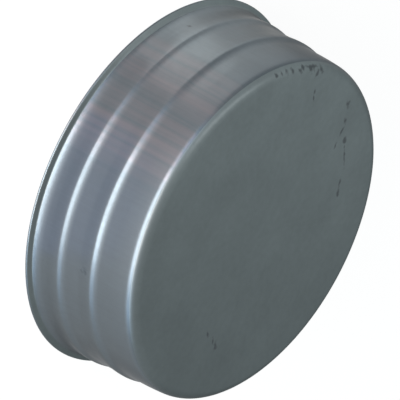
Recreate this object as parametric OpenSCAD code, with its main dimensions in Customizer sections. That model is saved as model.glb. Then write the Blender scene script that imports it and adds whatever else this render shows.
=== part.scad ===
// Duct end cap: one cup drawn from thin sheet. The closed face runs through a round corner into
// the skirt, where each rolled bead climbs over a ramp to a narrow crest and falls back slowly.
// The open end flares out to a rim. All lengths are in millimetres and all leans in degrees.

/* [Sheet] */
// Thickness of the sheet, the same all over
sheet_t = 0.6; // [0.4:0.05:0.9]

/* [Front] */
// Diameter of the skirt's first land, behind the closed face
front_d = 121.5; // [80:0.5:240]
// Inside radius of the bend between the face and the skirt
corner_r = 3.4; // [1:0.1:4.5]
// Length of the soft shoulder between the face and the first land
shoulder_len = 8; // [6:0.1:9]
// Lean of the shoulder away from the axis
shoulder_deg = 4; // [1:0.5:6]
// Radius that blends the shoulder into the first land
shoulder_r = 80; // [20:5:120]

/* [Beads] */
// Number of beads along the skirt
bead_count = 2; // [1:1:4]
// Distance from the closed face to the crest of the first bead
first_crest = 18.5; // [15:0.1:30]
// Distance from one crest to the next
bead_pitch = 13.6; // [10:0.2:25]
// Height of a crest over the land in front of it
bead_rise = 0.85; // [0.65:0.05:1.4]
// Lean of the ramp that climbs to a crest
ramp_deg = 22; // [15:1:35]
// Radius that blends a land into its ramp
ramp_r = 6; // [2:0.5:8]
// Length of the cylindrical crest that is left between its bends
crest_flat = 0.4; // [0.3:0.1:1.5]
// Inside radius of the bend between a ramp and its crest
crest_r = 1.4; // [0.2:0.1:2]
// Gain in radius from each land to the next one
land_step = 0.5; // [0.1:0.05:0.6]
// Length of the slow fall from a crest to the next land
fall_len = 3.4; // [2:0.1:3.8]
// Radius of the soft bends at both ends of the fall
fall_r = 12; // [2:0.5:16]

/* [Rim] */
// Distance from the last crest to the cut edge of the rim
rim_from_crest = 10.9; // [10:0.1:30]
// Width by which the rim stands out over the last land
rim_width = 2.7; // [2:0.05:4.5]
// Lean of the rim away from the axis
rim_deg = 65; // [55:1:75]
// Radius of the fillet between the flare and the rim
rim_root_r = 0.8; // [0.4:0.1:1.2]
// Inside radius of the bend at the edge of the rim
rim_bend_r = 0.1; // [0.05:0.05:0.2]
// Length of the turned edge, from the corner of the rim to the cut edge
rim_turn = 0.5; // [0.5:0.05:1]
// Length of the flare in front of the rim
flare_len = 2.2; // [1.6:0.1:2.6]
// Lean of the flare away from the axis
flare_deg = 22; // [10:0.5:26]
// Radius that blends the last land into the flare
flare_r = 7; // [4:0.5:8]

/* [Hidden] */
sheet_colour = [0.47, 0.5, 0.53];
// Largest turn of one straight step along a bend, and the fewest steps in a bend
bend_step_deg = 5;
bend_steps_min = 4;
$fn = 180;

front_r = front_d / 2;
last_land_r = land_r(bead_count);
depth = crest_at(bead_count - 1) + rim_from_crest;
flare_end_r = last_land_r + flare_len * tan(flare_deg);
rim_r = last_land_r + rim_width;
rim_at = depth - rim_turn - (rim_r - flare_end_r) / tan(rim_deg);
// Outer radius of the bend between a ramp and its crest
crest_bend_r = crest_r + sheet_t;
fall_deg = atan2(bead_rise - land_step, fall_len);

function land_r(i) = front_r + i * land_step;
function crest_at(i) = first_crest + i * bead_pitch;
// Length that a bend of radius r and the given turn takes from the walls on either side
function bend_run(r, turn) = r * tan(abs(turn) / 2);

// The outer surface is a chain of straight walls: each corner is [radius, depth under the face,
// bend radius], from the middle of the face to the edge of the rim.
front_corners = [
    [0, 0, 0],
    [front_r - shoulder_len * tan(shoulder_deg), 0, corner_r + sheet_t],
    [front_r, shoulder_len, shoulder_r]
];

// Corners of bead i: foot of the ramp, both edges of the crest, end of the fall
function bead_corners(i) =
    let (
        crest = land_r(i) + bead_rise,
        front = crest_at(i) - crest_flat / 2 - bend_run(crest_bend_r, ramp_deg),
        back = crest_at(i) + crest_flat / 2 + bend_run(fall_r, fall_deg)
    )
    [
        [land_r(i), front - bead_rise / tan(ramp_deg), ramp_r],
        [crest, front, crest_bend_r],
        [crest, back, fall_r],
        [land_r(i + 1), back + fall_len, fall_r]
    ];

rim_corners = [
    [last_land_r, rim_at - flare_len, flare_r],
    [flare_end_r, rim_at, rim_root_r],
    [rim_r, depth - rim_turn, rim_bend_r + sheet_t],
    [rim_r, depth, 0]
];

corners = concat(
    front_corners,
    [for (i = [0 : bead_count - 1]) each bead_corners(i)],
    rim_corners
);
last = len(corners) - 1;

// Place of a corner, and the wall that leaves it: its length and the way that it heads
function place(i) = [corners[i][0], corners[i][1]];
function wall_len(i) = norm(place(i + 1) - place(i));
function heading(i) = atan2(corners[i + 1][1] - corners[i][1], corners[i + 1][0] - corners[i][0]);
function turn(i) = (i == 0 || i == last) ? 0 : heading(i) - heading(i - 1);
function full_run(i) = bend_run(corners[i][2], turn(i));
// Share of their full size at which the bends at both ends of wall i have room on it
function room(i) = min(1, wall_len(i) / max(full_run(i) + full_run(i + 1), wall_len(i)));
function bend_size(i) = corners[i][2] * min(room(i - 1), room(i));

// Outward direction of a surface that heads at angle a
function outward(a) = [sin(a), -cos(a)];

// Bend at corner i, moved inward by the distance inset: a concentric arc between the two walls
function bend(i, inset) =
    let (
        a = heading(i - 1),
        sweep = turn(i),
        side = sign(sweep),
        r = bend_size(i),
        start = place(i) - bend_run(r, sweep) * [cos(a), sin(a)],
        centre = start - side * r * outward(a),
        steps = max(bend_steps_min, ceil(abs(sweep) / bend_step_deg))
    )
    [for (k = [0 : steps]) centre + (side * r - inset) * outward(a + sweep * k / steps)];

// One surface of the sheet, from the axis to the edge of the rim
function surface_line(inset) = concat(
    [place(0) - inset * outward(heading(0))],
    [for (i = [1 : last - 1]) each bend(i, inset)],
    [place(last) - inset * outward(heading(last - 1))]
);

function reversed(list) = [for (i = [len(list) - 1 : -1 : 0]) list[i]];

// The cup stands on the edge of its rim, with the closed face up
section = [
    for (p = concat(surface_line(0), reversed(surface_line(sheet_t)))) [p[0], depth - p[1]]
];

module end_cap() {
    color(sheet_colour)
        rotate_extrude()
            polygon(section);
}

end_cap();
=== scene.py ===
"""Looks of a duct end cap: the formed sheet, its worn zinc finish, and a plain studio round it."""

import math
from itertools import pairwise
from typing import NamedTuple

import bmesh
import bpy
from bpy.props import (
    FloatProperty,
    FloatVectorProperty,
    IntProperty,
    PointerProperty,
)
from bpy.types import Operator, Panel, PropertyGroup
from mathutils import Matrix, Vector, noise


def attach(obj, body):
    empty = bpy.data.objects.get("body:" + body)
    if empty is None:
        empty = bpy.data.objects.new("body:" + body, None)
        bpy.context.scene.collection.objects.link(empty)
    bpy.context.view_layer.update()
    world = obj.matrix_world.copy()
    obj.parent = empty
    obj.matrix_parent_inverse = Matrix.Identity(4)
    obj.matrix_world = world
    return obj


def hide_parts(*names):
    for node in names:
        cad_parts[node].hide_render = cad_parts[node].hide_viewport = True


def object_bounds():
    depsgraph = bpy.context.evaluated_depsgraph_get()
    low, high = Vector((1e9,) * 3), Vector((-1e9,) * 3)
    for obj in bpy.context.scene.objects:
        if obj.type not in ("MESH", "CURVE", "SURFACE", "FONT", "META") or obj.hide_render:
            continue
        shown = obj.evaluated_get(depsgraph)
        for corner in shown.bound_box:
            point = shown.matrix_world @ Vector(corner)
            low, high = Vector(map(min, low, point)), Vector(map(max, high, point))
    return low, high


bl_info = {
    "name": "Duct End Cap",
    "version": (1, 0, 0),
    "blender": (4, 5, 0),
    "location": "View3D > Sidebar > End Cap",
    "description": "Forms a sheet-metal duct end cap and a plain studio round it",
    "category": "Object",
}

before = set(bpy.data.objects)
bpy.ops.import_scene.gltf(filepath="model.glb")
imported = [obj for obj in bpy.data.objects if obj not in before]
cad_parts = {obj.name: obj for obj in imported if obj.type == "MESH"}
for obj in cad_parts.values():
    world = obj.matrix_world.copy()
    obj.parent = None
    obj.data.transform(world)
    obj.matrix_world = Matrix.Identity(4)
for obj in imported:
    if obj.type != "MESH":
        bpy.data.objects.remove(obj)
CAD_LOW, CAD_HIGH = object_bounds()
CAP_NODE = "end_cap"
MM = 0.001


def length(label, words, millimetres):
    """A length that a user may change, given in millimetres."""
    return FloatProperty(
        name=label,
        description=words,
        default=millimetres * MM,
        min=0.0,
        precision=5,
        unit="LENGTH",
    )


def lean(label, words, degrees):
    """An angle that a user may change, given in degrees."""
    return FloatProperty(
        name=label,
        description=words,
        default=math.radians(degrees),
        unit="ROTATION",
    )


def colour(label, words, rgb):
    """A colour that a user may change, in linear light."""
    return FloatVectorProperty(
        name=label,
        description=words,
        default=rgb,
        size=3,
        min=0.0,
        max=1.0,
        subtype="COLOR",
    )


def amount(label, words, value):
    """A plain number that a user may change."""
    return FloatProperty(name=label, description=words, default=value, min=0.0)


def count(label, words, value, least):
    """A whole number that a user may change."""
    return IntProperty(name=label, description=words, default=value, min=least)


class CapShape(PropertyGroup):
    """Sizes of the formed sheet"""

    sheet: length("Sheet", "Thickness of the sheet", 0.6)
    front_radius: length("Front radius", "Radius of the first land", 60.75)
    corner_bend: length("Corner bend", "Outer radius between face and skirt", 4.0)
    shoulder: length("Shoulder", "Length of the soft shoulder behind the face", 8.0)
    shoulder_lean: lean("Shoulder lean", "Lean of the shoulder", 4.0)
    shoulder_bend: length("Shoulder bend", "Radius from shoulder to land", 80.0)
    beads: count("Beads", "Beads on the skirt", 2, 1)
    first_crest: length("First crest", "Distance from the face to the first crest", 18.5)
    bead_pitch: length("Bead pitch", "Distance from one crest to the next", 13.6)
    bead_rise: length("Bead rise", "Height of a crest over the land in front", 0.85)
    ramp_lean: lean("Ramp lean", "Lean of the ramp that climbs to a crest", 22.0)
    ramp_bend: length("Ramp bend", "Radius from land to ramp", 6.0)
    crest_flat: length("Crest flat", "Length of the flat crest of a bead", 0.4)
    crest_bend: length("Crest bend", "Outer radius from ramp to crest", 2.0)
    land_step: length("Land step", "Gain in radius from land to land", 0.5)
    fall: length("Fall", "Length of the slow fall behind a crest", 3.4)
    fall_bend: length("Fall bend", "Radius at both ends of the fall", 12.0)
    rim_from_crest: length("Rim from crest", "From the last crest to the cut edge", 10.9)
    rim_width: length("Rim width", "Reach of the rim over the last land", 2.7)
    rim_lean: lean("Rim lean", "Lean of the rim", 65.0)
    rim_root: length("Rim root", "Fillet between flare and rim", 0.8)
    rim_bend: length("Rim bend", "Outer radius at the edge of the rim", 0.7)
    rim_turn: length("Rim turn", "Length of the turned edge", 0.5)
    flare: length("Flare", "Length of the flare in front of the rim", 2.2)
    flare_lean: lean("Flare lean", "Lean of the flare", 22.0)
    flare_bend: length("Flare bend", "Radius from the last land to the flare", 7.0)
    wave: length("Waviness", "Height of the slow waves in the sheet", 0.05)
    wave_size: length("Wave size", "Width of the slow waves in the sheet", 24.0)
    turns: count("Turns", "Steps round the axis", 240, 24)


class SheetFinish(PropertyGroup):
    """Colours and gloss of the sheet"""

    skirt: colour("Skirt", "Colour of the skirt", (0.087, 0.113, 0.131))
    face: colour("Face", "Colour of the closed face", (0.207, 0.229, 0.235))
    dull: amount("Dull", "Tone of the duller patches", 0.81)
    # Brown streaks, partly stain and partly a painted reflected tint on one side of the skirt
    stain_and_reflection: colour("Stain", "Colour of the faint brown streaks", (0.175, 0.142, 0.155))
    mark: colour("Mark", "Colour of scuffs and scratches", (0.022, 0.026, 0.03))
    edge: colour("Edge tint", "Tint of the gloss at a low angle", (0.3, 0.3, 0.3))
    skirt_haze: amount("Skirt haze", "Share of the wide soft gloss on the skirt", 0.7)
    face_haze: amount("Face haze", "Share of the wide soft gloss on the face", 0.1)
    haze_index: amount("Haze index", "Refractive index of the wide soft gloss", 1.8)
    haze_rough: amount("Haze roughness", "Roughness of the wide soft gloss", 0.5)
    skirt_rough: amount("Skirt roughness", "Roughness of the skirt", 0.3)
    face_rough: amount("Face roughness", "Roughness of the closed face", 0.36)
    inside_rough: amount("Inside roughness", "Roughness of the inside", 0.33)


class StudioSetup(PropertyGroup):
    """Camera, floor and lamps"""

    camera_height: lean("Camera height", "Camera's angle over the floor", 31.976)
    camera_roll: lean("Camera roll", "Turn of the picture on the line of sight", 118.103)
    camera_distance: length("Camera distance", "Distance to the closed face", 6075.0)
    camera_right: length("Camera right", "Shift of the face's middle to the right", 18.29)
    camera_down: length("Camera down", "Shift of the face's middle downwards", 10.60)
    view_width: length("View width", "Width of the picture at the closed face", 129.98)
    floor: colour("Floor", "Colour of the floor", (0.86, 0.86, 0.86))
    room: colour("Room", "Colour of the light from all round", (0.58, 0.645, 0.65))
    window: colour("Window", "Colour of the low front lamp", (1.0, 0.97, 0.97))
    window_level: amount("Window level", "Radiance of the low front lamp", 10.5)
    ceiling: colour("Ceiling", "Colour of the upper strip lamp", (1.0, 1.0, 1.0))
    ceiling_level: amount("Ceiling level", "Radiance of the upper strip lamp", 1.0)
    pale: colour("Pale glow", "Colour of the pale glow on the floor", (1.0, 0.93, 0.85))
    pale_level: amount("Pale level", "Radiance of the pale glow", 0.5)
    bright_level: amount("Bright level", "Radiance of the bright part of that glow", 0.75)
    blue: colour("Blue glow", "Colour of the blue glow on the floor", (0.0, 0.2, 1.0))
    blue_level: amount("Blue level", "Radiance of the blue glow", 0.22)
    warm: colour("Warm strip", "Colour of the low warm strip and its glow", (1.0, 0.84, 0.74))
    warm_level: amount("Warm level", "Radiance of the low warm strip", 2.5)
    warm_glow_level: amount("Warm glow level", "Radiance of the warm glow on the floor", 0.5)
    wing: colour("Wing", "Colour of the dim lamps beside the window", (0.52, 0.74, 1.0))
    wing_level: amount("Wing level", "Radiance of the dim lamps beside the window", 2.7)


def bend_run(radius, turn):
    """Length that a bend takes from the walls on either side."""
    return radius * math.tan(abs(turn) / 2)


def cap_depth(shape):
    """Distance from the closed face to the cut edge of the rim."""
    return shape.first_crest + (shape.beads - 1) * shape.bead_pitch + shape.rim_from_crest


def sheet_corners(shape):
    """Corners of the outer surface, from the middle of the face to the cut edge: radius, depth, bend."""
    depth = cap_depth(shape)
    land = shape.front_radius
    lead = land - shape.shoulder * math.tan(shape.shoulder_lean)
    corners = [(0, 0, 0), (lead, 0, shape.corner_bend)]
    corners.append((land, shape.shoulder, shape.shoulder_bend))
    fall_lean = math.atan2(shape.bead_rise - shape.land_step, shape.fall)
    for bead in range(shape.beads):
        middle = shape.first_crest + bead * shape.bead_pitch
        crest = land + shape.bead_rise
        front = middle - shape.crest_flat / 2 - bend_run(shape.crest_bend, shape.ramp_lean)
        back = middle + shape.crest_flat / 2 + bend_run(shape.fall_bend, fall_lean)
        foot = front - shape.bead_rise / math.tan(shape.ramp_lean)
        corners.append((land, foot, shape.ramp_bend))
        corners.append((crest, front, shape.crest_bend))
        corners.append((crest, back, shape.fall_bend))
        land += shape.land_step
        corners.append((land, back + shape.fall, shape.fall_bend))
    rim = land + shape.rim_width
    rim_front = depth - shape.rim_turn
    flare_end = land + shape.flare * math.tan(shape.flare_lean)
    rim_at = rim_front - (rim - flare_end) / math.tan(shape.rim_lean)
    corners.append((land, rim_at - shape.flare, shape.flare_bend))
    corners.append((flare_end, rim_at, shape.rim_root))
    corners.append((rim, rim_front, shape.rim_bend))
    corners.append((rim, depth, 0))
    return corners


# Largest turn of one step along a bend, and the fewest steps in a bend
BEND_STEP = math.radians(7)
BEND_STEPS_MIN = 4
# Cuts across the flat of the closed face
FACE_RINGS = 11
# Angle between faces from which their edge stays sharp
SHARP_ANGLE = math.radians(40)
# Share of the sheet's thickness within which points are merged
MERGE_SHARE = 0.001
# Rise of the normal above which the corner has the face's finish
FACE_RISE = 0.5
# Material slots of the three zones
FACE, SKIRT, INSIDE = range(3)


def draw_section(bm, shape):
    """The outer line of the half section, on the XZ plane, with its bends rounded."""
    depth = cap_depth(shape)
    corners = sheet_corners(shape)
    verts = [bm.verts.new((radius, 0, depth - down)) for radius, down, _ in corners]
    walls = [bm.edges.new(pair) for pair in pairwise(verts)]
    ways = [(wall.verts[1].co - wall.verts[0].co) for wall in walls]
    turns = [before.angle(after) for before, after in pairwise(ways)]
    for vert, turn, (_, _, bend) in zip(verts[1:-1], turns, corners[1:-1]):
        bmesh.ops.bevel(
            bm,
            geom=[vert],
            offset=bend_run(bend, turn),
            offset_type="OFFSET",
            segments=max(BEND_STEPS_MIN, math.ceil(turn / BEND_STEP)),
            profile=0.5,
            affect="VERTICES",
            clamp_overlap=False,
            material=-1,
        )
    bmesh.ops.subdivide_edges(bm, edges=verts[0].link_edges[:], cuts=FACE_RINGS)


def form_sheet(shape):
    """The whole cup as a mesh: the section spun round the axis, made wavy and given its thickness."""
    bm = bmesh.new()
    draw_section(bm, shape)
    bmesh.ops.spin(
        bm,
        geom=bm.verts[:] + bm.edges[:],
        cent=(0, 0, 0),
        axis=(0, 0, 1),
        angle=math.tau,
        steps=shape.turns,
        use_merge=True,
    )
    bmesh.ops.remove_doubles(bm, verts=bm.verts[:], dist=MERGE_SHARE * shape.sheet)
    bmesh.ops.recalc_face_normals(bm, faces=bm.faces[:])
    top = max(bm.faces, key=lambda face: face.calc_center_median().z)
    if top.normal.z < 0:
        bmesh.ops.reverse_faces(bm, faces=bm.faces[:])
    bm.normal_update()
    for vert in bm.verts:
        vert.co += vert.normal * shape.wave * noise.noise(vert.co / shape.wave_size)
    outer = bm.faces[:]
    bmesh.ops.solidify(bm, geom=outer, thickness=shape.sheet)
    for face in bm.faces:
        face.smooth = True
        face.material_index = INSIDE
    for face in outer:
        face.material_index = FACE if face.normal.z > FACE_RISE else SKIRT
    mesh = bpy.data.meshes.new("duct_end_cap")
    bm.to_mesh(mesh)
    bm.free()
    mesh.set_sharp_from_angle(angle=SHARP_ANGLE)
    return mesh


def opaque(rgb):
    """A colour as a shader socket takes it."""
    return (*rgb, 1.0)


def new_material(name):
    """A material with an empty node tree."""
    material = bpy.data.materials.new(name)
    material.use_nodes = True
    material.node_tree.nodes.clear()
    return material


def add(tree, kind, values=None, **settings):
    """A new node, with its settings and the values or links of its inputs."""
    made = tree.nodes.new(kind)
    for key, value in settings.items():
        setattr(made, key, value)
    for key, value in (values or {}).items():
        if isinstance(value, bpy.types.NodeSocket):
            tree.links.new(value, made.inputs[key])
        else:
            made.inputs[key].default_value = value
    return made


def calculate(tree, operation, *values):
    """The result of one sum on numbers or sockets."""
    made = add(tree, "ShaderNodeMath", dict(enumerate(values)), operation=operation)
    return made.outputs[0]


def on_vector(tree, operation, *values):
    """The result of one sum on vectors: a number for a length or a dot product."""
    made = add(tree, "ShaderNodeVectorMath", dict(enumerate(values)), operation=operation)
    return made.outputs["Value" if operation in ("LENGTH", "DOT_PRODUCT") else "Vector"]


def scaled(tree, vector, factor):
    """A vector made longer or shorter, or a colour made lighter or darker."""
    made = add(tree, "ShaderNodeVectorMath", {0: vector, "Scale": factor}, operation="SCALE")
    return made.outputs["Vector"]


def spread(tree, value, low, high, to_low=0.0, to_high=1.0, smooth=False):
    """A value taken from one range to another and kept inside it."""
    made = add(
        tree,
        "ShaderNodeMapRange",
        {"Value": value, "From Min": low, "From Max": high, "To Min": to_low, "To Max": to_high},
        interpolation_type="SMOOTHSTEP" if smooth else "LINEAR",
    )
    return made.outputs["Result"]


# Sockets of a Mix node that are in use when it blends colours
MIX_SHARE, MIX_FIRST, MIX_SECOND, MIX_RESULT = 0, 6, 7, 2


def blend(tree, share, first, second):
    """A colour between two others."""
    values = {MIX_SHARE: share, MIX_FIRST: first, MIX_SECOND: second}
    return add(tree, "ShaderNodeMix", values, data_type="RGBA").outputs[MIX_RESULT]


def round_way(tree, position):
    """The level way from the axis to a point, with a length of 1."""
    level = on_vector(tree, "MULTIPLY", position, (1.0, 1.0, 0.0))
    return on_vector(tree, "NORMALIZE", level)


def new_group(name, inputs, output):
    """An empty shader group with its sockets: the tree, what it is given and its result."""
    tree = bpy.data.node_groups.new(name, "ShaderNodeTree")
    for label, kind in inputs:
        tree.interface.new_socket(label, in_out="INPUT", socket_type=f"NodeSocket{kind}")
    tree.interface.new_socket(output, in_out="OUTPUT", socket_type="NodeSocketFloat")
    given = tree.nodes.new("NodeGroupInput").outputs
    result = tree.nodes.new("NodeGroupOutput").inputs
    return tree, given, result


def place_group(tree, group, values):
    """The output of a shader group that is placed in a material."""
    return add(tree, "ShaderNodeGroup", values, node_tree=group).outputs[0]


# Range that holds most values of a noise texture
NOISE_RANGE = (0.3, 0.7)
CLOUD_DETAIL = 4.0
CLOUD_ROUGHNESS = 0.55
LINE_DETAIL = 3.0
# The noise that frays a mark: its scale per metre, its detail and what it adds to the reach
FRAY_SCALE = 600.0
FRAY_DETAIL = 3.0
FRAY_REACH = (-0.4, 0.5)
# Reach, in half sizes, at which a mark ends and at which it is full
MARK_ENDS = (1.2, 0.2)


def clouds_group():
    """Patches in the zinc, from 0 to 1."""
    sockets = [("Vector", "Vector"), ("Per metre", "Float")]
    tree, given, result = new_group("zinc_clouds", sockets, "Cloud")
    cloud = add(
        tree,
        "ShaderNodeTexNoise",
        {
            "Vector": given["Vector"],
            "Scale": given["Per metre"],
            "Detail": CLOUD_DETAIL,
            "Roughness": CLOUD_ROUGHNESS,
        },
    )
    tree.links.new(spread(tree, cloud.outputs[0], *NOISE_RANGE), result["Cloud"])
    return tree


def lines_group():
    """Fine lines that the drawing die left along the skirt, from 0 to 1."""
    sockets = [("Vector", "Vector"), ("Round", "Float"), ("Along", "Float")]
    tree, given, result = new_group("draw_lines", sockets, "Line")
    way = scaled(tree, round_way(tree, given["Vector"]), given["Round"])
    height = add(tree, "ShaderNodeSeparateXYZ", {0: given["Vector"]}).outputs["Z"]
    rise = calculate(tree, "MULTIPLY", height, given["Along"])
    lifted = add(tree, "ShaderNodeCombineXYZ", {"Z": rise}).outputs[0]
    where = on_vector(tree, "ADD", way, lifted)
    line = add(tree, "ShaderNodeTexNoise", {"Vector": where, "Scale": 1.0, "Detail": LINE_DETAIL})
    tree.links.new(spread(tree, line.outputs[0], *NOISE_RANGE), result["Line"])
    return tree


def mark_group():
    """One ragged scuff or scratch: 1 in its middle and 0 outside it."""
    sockets = [("Vector", "Vector"), ("Place", "Vector"), ("Turn", "Float"), ("Half size", "Vector")]
    tree, given, result = new_group("handling_mark", sockets, "Mark")
    offset = on_vector(tree, "SUBTRACT", given["Vector"], given["Place"])
    turned = add(
        tree,
        "ShaderNodeVectorRotate",
        {"Vector": offset, "Angle": calculate(tree, "MULTIPLY", given["Turn"], -1.0)},
        rotation_type="Z_AXIS",
    )
    reach = on_vector(tree, "LENGTH", on_vector(tree, "DIVIDE", turned.outputs[0], given["Half size"]))
    fray = add(
        tree,
        "ShaderNodeTexNoise",
        {"Vector": given["Vector"], "Scale": FRAY_SCALE, "Detail": FRAY_DETAIL},
    )
    frayed = calculate(tree, "ADD", reach, spread(tree, fray.outputs[0], *NOISE_RANGE, *FRAY_REACH))
    tree.links.new(spread(tree, frayed, *MARK_ENDS, smooth=True), result["Mark"])
    return tree


# Marks of handling: x, y and depth under the face in mm, turn in degrees about the axis, half length
# and half width in mm
EDGE_MARKS = (
    ((-47.9, -33.7, 0.5), 45, 1.4, 0.8),
    ((-49.3, -31.3, 0.5), 45, 1.2, 0.6),
    ((-50.8, -29.2, 0.4), 40, 2.0, 1.0),
    ((-52.0, -26.7, 0.4), 45, 1.8, 1.0),
    ((-52.9, -22.3, 0.2), 80, 2.0, 0.9),
    ((-54.6, -21.9, 0.5), 40, 2.1, 0.9),
    ((-55.3, -17.6, 0.3), 45, 2.4, 1.4),
    ((-56.3, -16.0, 0.4), 35, 2.0, 1.0),
    ((-55.4, -13.0, 0.1), 10, 2.5, 1.0),
    ((-56.0, -17.1, 0.5), 107, 5.5, 0.7),
    ((-57.0, -11.9, 0.3), 60, 2.1, 1.2),
)
FACE_MARKS = (
    ((-50.9, 12.9, 0.0), 45, 2.2, 1.2),
    ((-45.9, 15.8, 0.0), 45, 1.6, 0.8),
    ((-41.9, 17.0, 0.0), 3, 1.9, 0.7),
    ((-37.1, 17.8, 0.0), 20, 1.2, 0.8),
    ((-39.9, 21.6, 0.0), 45, 1.9, 1.1),
    ((-36.2, 25.0, 0.0), 45, 5.7, 0.5),
    ((-27.5, 30.9, 0.0), 30, 1.9, 0.7),
    ((-23.8, 32.9, 0.0), 35, 1.8, 0.9),
    ((-49.5, -9.3, 0.0), 45, 1.4, 0.5),
    ((-47.2, -7.7, 0.0), 45, 1.6, 0.5),
    ((36.6, 3.0, 0.0), 50, 2.2, 0.8),
    ((37.9, 7.8, 0.0), 45, 2.4, 0.7),
    ((38.6, 10.5, 0.0), 40, 2.0, 1.1),
)
SKIRT_MARKS = (
    ((36.95, -48.85, 20.5), 37, 1.7, 1.6),
    ((-49.0, -37.6, 36.1), 127, 0.9, 1.0),
)


def marked(tree, group, position, marks):
    """All the marks of a list as one mask."""
    mask = None
    for (x, y, depth), turn, half_length, half_width in marks:
        mark = place_group(
            tree,
            group,
            {
                "Vector": position,
                "Place": Vector((x * MM, y * MM, CAD_HIGH.z - depth * MM)),
                "Turn": math.radians(turn),
                "Half size": Vector((half_length, half_width, half_width)) * MM,
            },
        )
        mask = mark if mask is None else calculate(tree, "MAXIMUM", mask, mark)
    return mask


# Painted shade across the closed face: the way along which it gets lighter, and its tones at both ends
PAINTED_SHADE_WAY = (-0.965, -0.263, 0.0)
PAINTED_SHADE_TONES = (0.84, 1.24)


def paint_face_shade(tree, position, base):
    """A colour with painted shade that gets slowly lighter across the closed face."""
    along = on_vector(tree, "DOT_PRODUCT", position, PAINTED_SHADE_WAY)
    return scaled(tree, base, spread(tree, along, CAD_LOW.x, CAD_HIGH.x, *PAINTED_SHADE_TONES))


# Middle of the side of the skirt with brown streaks and a painted reflected tint, and how near to it the
# tint begins and is full
REFLECTION_TINT_WAY = (-0.326, -0.946, 0.0)
REFLECTION_TINT_REACH = (0.89, 0.99)
# Streaks per radian round the axis and per metre along it
STAIN_STREAKS = (24.0, 9.0)
STAIN_AND_TINT_STRENGTH = 0.6


def paint_stain_and_reflection(tree, position, base, stain_and_reflection, lines):
    """A colour with brown streaks along the axis on one side of the skirt: partly stain, partly painted
    reflection.
    """
    nearness = on_vector(tree, "DOT_PRODUCT", round_way(tree, position), REFLECTION_TINT_WAY)
    side = spread(tree, nearness, *REFLECTION_TINT_REACH, smooth=True)
    turns, rise = STAIN_STREAKS
    streak = place_group(tree, lines, {"Vector": position, "Round": turns, "Along": rise})
    share = calculate(tree, "MULTIPLY", streak, side)
    return blend(tree, calculate(tree, "MULTIPLY", share, STAIN_AND_TINT_STRENGTH), base, opaque(stain_and_reflection))


# Draw lines per radian round the axis and per metre along it, and their share in the wear
FACE_LINES = (20, 30, 0.1)
SKIRT_LINES = (70, 25, 0.45)
INSIDE_LINES = (60, 25, 0.4)
# Slow patches and small flecks: how many per metre, and their share in the wear
CLOUDS_PER_METRE = 45.0
CLOUD_SHARE = 0.6
FLECKS_PER_METRE = 420.0
FLECK_SHARE = 0.35
# Change in roughness of the least and the most worn patches
WEAR_ROUGHNESS = (-0.02, 0.05)
# Where the haze fades out towards a low angle of view, and its share there
HAZE_FADE = (0.65, 0.95)
LOW_HAZE = 0.35
# How far a mark covers the sheet, and how metallic it looks where it does
MARK_STRENGTH = 0.8
MARK_METAL = 0.2
BUMP_STRENGTH = 0.12
BUMP_HEIGHT = 0.02 * MM


class Zone(NamedTuple):
    """A zone of the sheet with a finish of its own."""

    name: str
    tint: tuple
    haze: float
    roughness: float
    lines: tuple
    marks: tuple = ()
    # Whether painted shade gets lighter across the zone
    paints_shade: bool = False
    # Whether one side gets brown streaks, partly stain and partly a painted reflected tint
    gets_stain_and_reflection: bool = False


def sheet_zones(finish):
    """The zones of the sheet, in the order of their material slots."""
    face = Zone(
        name="zinc_face",
        tint=tuple(finish.face),
        haze=finish.face_haze,
        roughness=finish.face_rough,
        lines=FACE_LINES,
        marks=EDGE_MARKS + FACE_MARKS,
        paints_shade=True,
    )
    skirt = Zone(
        name="zinc_skirt",
        tint=tuple(finish.skirt),
        haze=finish.skirt_haze,
        roughness=finish.skirt_rough,
        lines=SKIRT_LINES,
        marks=EDGE_MARKS + SKIRT_MARKS,
        gets_stain_and_reflection=True,
    )
    inside = Zone(
        name="zinc_inside",
        tint=tuple(finish.skirt),
        haze=finish.skirt_haze,
        roughness=finish.inside_rough,
        lines=INSIDE_LINES,
    )
    return face, skirt, inside


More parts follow.
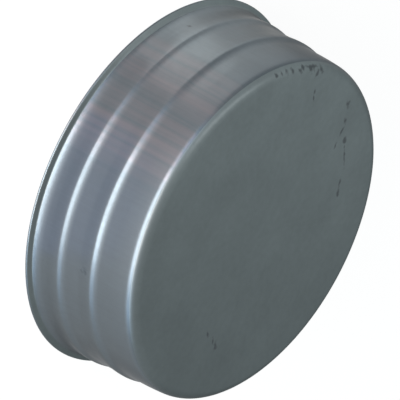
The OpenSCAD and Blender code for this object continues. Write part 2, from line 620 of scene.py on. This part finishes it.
def sheet_material(zone, finish, groups):
    """Worn zinc: patches, fine lines and marks on a satin metal; painted shade and a painted reflected
    tint.
    """
    material = new_material(zone.name)
    tree = material.node_tree
    position = add(tree, "ShaderNodeTexCoord").outputs["Object"]
    cloud = place_group(tree, groups["clouds"], {"Vector": position, "Per metre": CLOUDS_PER_METRE})
    fleck = place_group(tree, groups["clouds"], {"Vector": position, "Per metre": FLECKS_PER_METRE})
    turns, rise, line_share = zone.lines
    line = place_group(tree, groups["lines"], {"Vector": position, "Round": turns, "Along": rise})
    worn = calculate(tree, "MULTIPLY", cloud, CLOUD_SHARE)
    worn = calculate(tree, "MULTIPLY_ADD", fleck, FLECK_SHARE, worn)
    worn = calculate(tree, "MULTIPLY_ADD", line, line_share, worn)
    base = scaled(tree, zone.tint, spread(tree, worn, 0.0, 1.0, 1.0, finish.dull))
    # Painted shade, lighter towards one side of the face
    if zone.paints_shade:
        base = paint_face_shade(tree, position, base)
    # Brown streaks on one side of the skirt: partly stain, partly a painted reflected tint
    if zone.gets_stain_and_reflection:
        base = paint_stain_and_reflection(tree, position, base, finish.stain_and_reflection, groups["lines"])
    smoothest, roughest = (zone.roughness + change for change in WEAR_ROUGHNESS)
    rough = spread(tree, worn, 0.0, 1.0, smoothest, roughest)
    facing = add(tree, "ShaderNodeLayerWeight").outputs["Facing"]
    coat = spread(tree, facing, *HAZE_FADE, zone.haze, LOW_HAZE * zone.haze)
    metal = 1.0
    if zone.marks:
        mask = marked(tree, groups["mark"], position, zone.marks)
        mask = calculate(tree, "MULTIPLY", mask, MARK_STRENGTH)
        base = blend(tree, mask, base, opaque(finish.mark))
        metal = spread(tree, mask, 0.0, 1.0, 1.0, MARK_METAL)
        coat = calculate(tree, "MULTIPLY", coat, calculate(tree, "SUBTRACT", 1.0, mask))
    height = calculate(tree, "ADD", fleck, line)
    bump = add(
        tree,
        "ShaderNodeBump",
        {"Height": height, "Strength": BUMP_STRENGTH, "Distance": BUMP_HEIGHT},
    )
    shader = add(
        tree,
        "ShaderNodeBsdfPrincipled",
        {
            "Base Color": base,
            "Roughness": rough,
            "Metallic": metal,
            "Normal": bump.outputs[0],
            "Specular Tint": opaque(finish.edge),
            "Coat Weight": coat,
            "Coat Roughness": finish.haze_rough,
            "Coat IOR": finish.haze_index,
        },
    )
    add(tree, "ShaderNodeOutputMaterial", {"Surface": shader.outputs[0]})
    return material


class ENDCAP_OT_sheet(Operator):
    """Form the sheet of the end cap in place of its CAD solid"""

    bl_idname = "endcap.sheet"
    bl_label = "Form the Sheet"

    def execute(self, context):
        scene = context.scene
        finish = scene.endcap_finish
        mesh = form_sheet(scene.endcap_shape)
        groups = {"clouds": clouds_group(), "lines": lines_group(), "mark": mark_group()}
        for zone in sheet_zones(finish):
            mesh.materials.append(sheet_material(zone, finish, groups))
        cap = bpy.data.objects.new("duct_end_cap", mesh)
        scene.collection.objects.link(cap)
        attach(cap, "root")
        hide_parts(CAP_NODE)
        return {"FINISHED"}


# How far the camera sees, in distances to the closed face
VIEW_REACH = 3


def place_camera(scene, studio):
    """The camera, where the photograph was taken from."""
    data = bpy.data.cameras.new("studio_camera")
    data.lens = data.sensor_width * studio.camera_distance / studio.view_width
    data.clip_end = VIEW_REACH * studio.camera_distance
    camera = bpy.data.objects.new("studio_camera", data)
    scene.collection.objects.link(camera)
    tilt = Matrix.Rotation(math.radians(90) - studio.camera_height, 4, "X")
    turn = tilt @ Matrix.Rotation(studio.camera_roll, 4, "Z")
    back = Vector((-studio.camera_right, studio.camera_down, studio.camera_distance))
    face = Vector((0, 0, CAD_HIGH.z))
    camera.matrix_world = Matrix.Translation(face + turn @ back) @ turn
    scene.camera = camera


def round_place(azimuth, distance, height):
    """A point at an azimuth in degrees, a distance from the axis and a height."""
    angle = math.radians(azimuth)
    return Vector((distance * math.cos(angle), distance * math.sin(angle), height))


# Lamps and card round the cap: each has its place, an azimuth in degrees and then a distance from the
# axis and a height in metres, and its size, a width and a height in metres
WINDOW_PLACE, WINDOW_SIZE = (295, 0.55, 0.155), (0.72, 0.25)
LEFT_WING_PLACE, LEFT_WING_SIZE = (246, 0.55, 0.18), (0.2, 0.2)
RIGHT_WING_PLACE, RIGHT_WING_SIZE = (340, 0.55, 0.145), (0.34, 0.27)
STRIP_PLACE, STRIP_SIZE = (250, 0.5, 0.017), (0.24, 0.032)
CEILING_PLACE, CEILING_SIZE = (197, 0.51, 0.92), (0.9, 0.26)
CARD_AZIMUTH, CARD_DISTANCE, CARD_SIZE = 180, 0.33, (0.42, 0.05)
CARD_COLOUR = (0.38, 0.38, 0.4)
# Glows on the floor: azimuth in degrees and distance, then radial and tangential size
PALE_PLACE, PALE_SIZE = (200, 0.092), (0.10, 0.11)
BRIGHT_PLACE, BRIGHT_SIZE = (213, 0.108), (0.085, 0.044)
BLUE_PLACE, BLUE_SIZE = (286, 0.095), (0.09, 0.09)
WARM_PLACE, WARM_SIZE = (259, 0.15), (0.04, 0.05)
GLOW_HEIGHT = 0.001
# Point that the lamps face
LAMP_AIM = Vector((0.0, 0.0, 0.02))
# Part of its width times its height that each form of lamp fills
LAMP_FILL = {"RECTANGLE": 1.0, "ELLIPSE": math.pi / 4}


def add_lamp(scene, name, form, stand, size, tint, level):
    """An area lamp that the camera doesn't see, with the given stand, size, colour and radiance."""
    data = bpy.data.lights.new(name, "AREA")
    data.shape = form
    data.size, data.size_y = size
    data.color = tint
    data.energy = level * math.pi * LAMP_FILL[form] * size[0] * size[1]
    lamp = bpy.data.objects.new(name, data)
    scene.collection.objects.link(lamp)
    lamp.matrix_world = stand
    lamp.visible_camera = False


def hang_lamp(scene, name, place, size, tint, level):
    """A soft box that faces the cap."""
    point = round_place(*place)
    turn = (LAMP_AIM - point).to_track_quat("-Z", "Y").to_matrix().to_4x4()
    add_lamp(scene, name, "RECTANGLE", Matrix.Translation(point) @ turn, size, tint, level)


def lay_glow(scene, name, place, size, tint, level):
    """A round glow flat on the floor beside the cap."""
    azimuth, distance = place
    upward = Matrix.Rotation(math.radians(azimuth), 4, "Z") @ Matrix.Rotation(math.pi, 4, "X")
    point = round_place(azimuth, distance, GLOW_HEIGHT)
    add_lamp(scene, name, "ELLIPSE", Matrix.Translation(point) @ upward, size, tint, level)


def add_board(scene, name, stand, material):
    """A flat rectangle of the stage: a square with sides of 1, stretched and placed."""
    mesh = bpy.data.meshes.new(name)
    bm = bmesh.new()
    bmesh.ops.create_grid(bm, x_segments=1, y_segments=1, size=0.5, matrix=stand)
    bm.to_mesh(mesh)
    bm.free()
    mesh.materials.append(material)
    board = bpy.data.objects.new(name, mesh)
    scene.collection.objects.link(board)
    return board


def stand_card(scene):
    """A low dark card that shows only as a reflection in the sheet."""
    material = new_material("dark_card")
    tree = material.node_tree
    paint = add(tree, "ShaderNodeBsdfDiffuse", {"Color": opaque(CARD_COLOUR)}).outputs[0]
    add(tree, "ShaderNodeOutputMaterial", {"Surface": paint})
    turn = Matrix.Rotation(math.radians(CARD_AZIMUTH + 90), 4, "Z")
    upright = turn @ Matrix.Rotation(math.radians(90), 4, "X")
    place = round_place(CARD_AZIMUTH, CARD_DISTANCE, CARD_SIZE[1] / 2)
    stand = Matrix.Translation(place) @ upright @ Matrix.Diagonal((*CARD_SIZE, 1.0, 1.0))
    card = add_board(scene, "dark_card", stand, material)
    card.visible_camera = False
    card.visible_diffuse = False
    card.visible_shadow = False


FLOOR_WIDTH = 80.0
# What the camera and the gloss see of the floor: its own light, and a faint colour that takes the shadow
FLOOR_LIGHT = 0.9
FLOOR_FAINT = (0.12, 0.12, 0.12)


def lay_floor(scene, studio):
    """A pale floor that looks white and keeps the cap's shadow."""
    material = new_material("pale_floor")
    tree = material.node_tree
    path = add(tree, "ShaderNodeLightPath").outputs
    paint = add(tree, "ShaderNodeBsdfDiffuse", {"Color": opaque(studio.floor)}).outputs[0]
    faint = add(tree, "ShaderNodeBsdfDiffuse", {"Color": opaque(FLOOR_FAINT)}).outputs[0]
    white = add(tree, "ShaderNodeEmission", {"Strength": FLOOR_LIGHT}).outputs[0]
    shown = add(tree, "ShaderNodeAddShader", {0: faint, 1: white}).outputs[0]
    looked_at = calculate(tree, "MAXIMUM", path["Is Camera Ray"], path["Is Glossy Ray"])
    looked_at = calculate(tree, "MAXIMUM", looked_at, path["Is Transmission Ray"])
    seen = add(tree, "ShaderNodeMixShader", {0: looked_at, 1: paint, 2: shown}).outputs[0]
    add(tree, "ShaderNodeOutputMaterial", {"Surface": seen})
    stand = Matrix.Diagonal((FLOOR_WIDTH, FLOOR_WIDTH, 1.0, 1.0))
    floor = add_board(scene, "studio_floor", stand, material)


def light_room(scene, studio):
    """Even light from all round."""
    world = bpy.data.worlds.new("studio_room")
    world.use_nodes = True
    tree = world.node_tree
    tree.nodes.clear()
    glow = add(tree, "ShaderNodeBackground", {"Color": opaque(studio.room)})
    add(tree, "ShaderNodeOutputWorld", {"Surface": glow.outputs[0]})
    scene.world = world


class ENDCAP_OT_studio(Operator):
    """Set up the camera, the pale floor and the soft lamps"""

    bl_idname = "endcap.studio"
    bl_label = "Set up the Studio"

    def execute(self, context):
        scene = context.scene
        studio = scene.endcap_studio
        scene.view_settings.view_transform = "Standard"
        place_camera(scene, studio)
        lay_floor(scene, studio)
        stand_card(scene)
        light_room(scene, studio)
        for name, place, size, tint, level in (
            ("window", WINDOW_PLACE, WINDOW_SIZE, studio.window, studio.window_level),
            ("left_wing", LEFT_WING_PLACE, LEFT_WING_SIZE, studio.wing, studio.wing_level),
            ("right_wing", RIGHT_WING_PLACE, RIGHT_WING_SIZE, studio.wing, studio.wing_level),
            ("warm_strip", STRIP_PLACE, STRIP_SIZE, studio.warm, studio.warm_level),
            ("ceiling", CEILING_PLACE, CEILING_SIZE, studio.ceiling, studio.ceiling_level),
        ):
            hang_lamp(scene, name, place, size, tint, level)
        for name, place, size, tint, level in (
            ("pale_glow", PALE_PLACE, PALE_SIZE, studio.pale, studio.pale_level),
            ("bright_glow", BRIGHT_PLACE, BRIGHT_SIZE, studio.pale, studio.bright_level),
            ("blue_glow", BLUE_PLACE, BLUE_SIZE, studio.blue, studio.blue_level),
            ("warm_glow", WARM_PLACE, WARM_SIZE, studio.warm, studio.warm_glow_level),
        ):
            lay_glow(scene, name, place, size, tint, level)
        return {"FINISHED"}


class ENDCAP_PT_panel(Panel):
    """Settings and steps of the end cap"""

    bl_label = "End Cap"
    bl_idname = "ENDCAP_PT_panel"
    bl_space_type = "VIEW_3D"
    bl_region_type = "UI"
    bl_category = "End Cap"

    def draw(self, context):
        scene = context.scene
        for step, groups in (
            (ENDCAP_OT_sheet, (scene.endcap_shape, scene.endcap_finish)),
            (ENDCAP_OT_studio, (scene.endcap_studio,)),
        ):
            box = self.layout.box()
            for settings in groups:
                for key in settings.bl_rna.properties.keys():
                    if key not in ("rna_type", "name"):
                        box.prop(settings, key)
            box.operator(step.bl_idname)


CLASSES = (
    CapShape,
    SheetFinish,
    StudioSetup,
    ENDCAP_OT_sheet,
    ENDCAP_OT_studio,
    ENDCAP_PT_panel,
)


def register():
    """Add the classes and their settings to Blender."""
    for cls in CLASSES:
        bpy.utils.register_class(cls)
    bpy.types.Scene.endcap_shape = PointerProperty(type=CapShape)
    bpy.types.Scene.endcap_finish = PointerProperty(type=SheetFinish)
    bpy.types.Scene.endcap_studio = PointerProperty(type=StudioSetup)


def unregister():
    """Take the classes and their settings out of Blender again."""
    del bpy.types.Scene.endcap_studio
    del bpy.types.Scene.endcap_finish
    del bpy.types.Scene.endcap_shape
    for cls in reversed(CLASSES):
        bpy.utils.unregister_class(cls)


def main():
    """Build the cap and its studio."""
    register()
    bpy.ops.endcap.sheet()
    bpy.ops.endcap.studio()


if __name__ == "__main__":
    main()
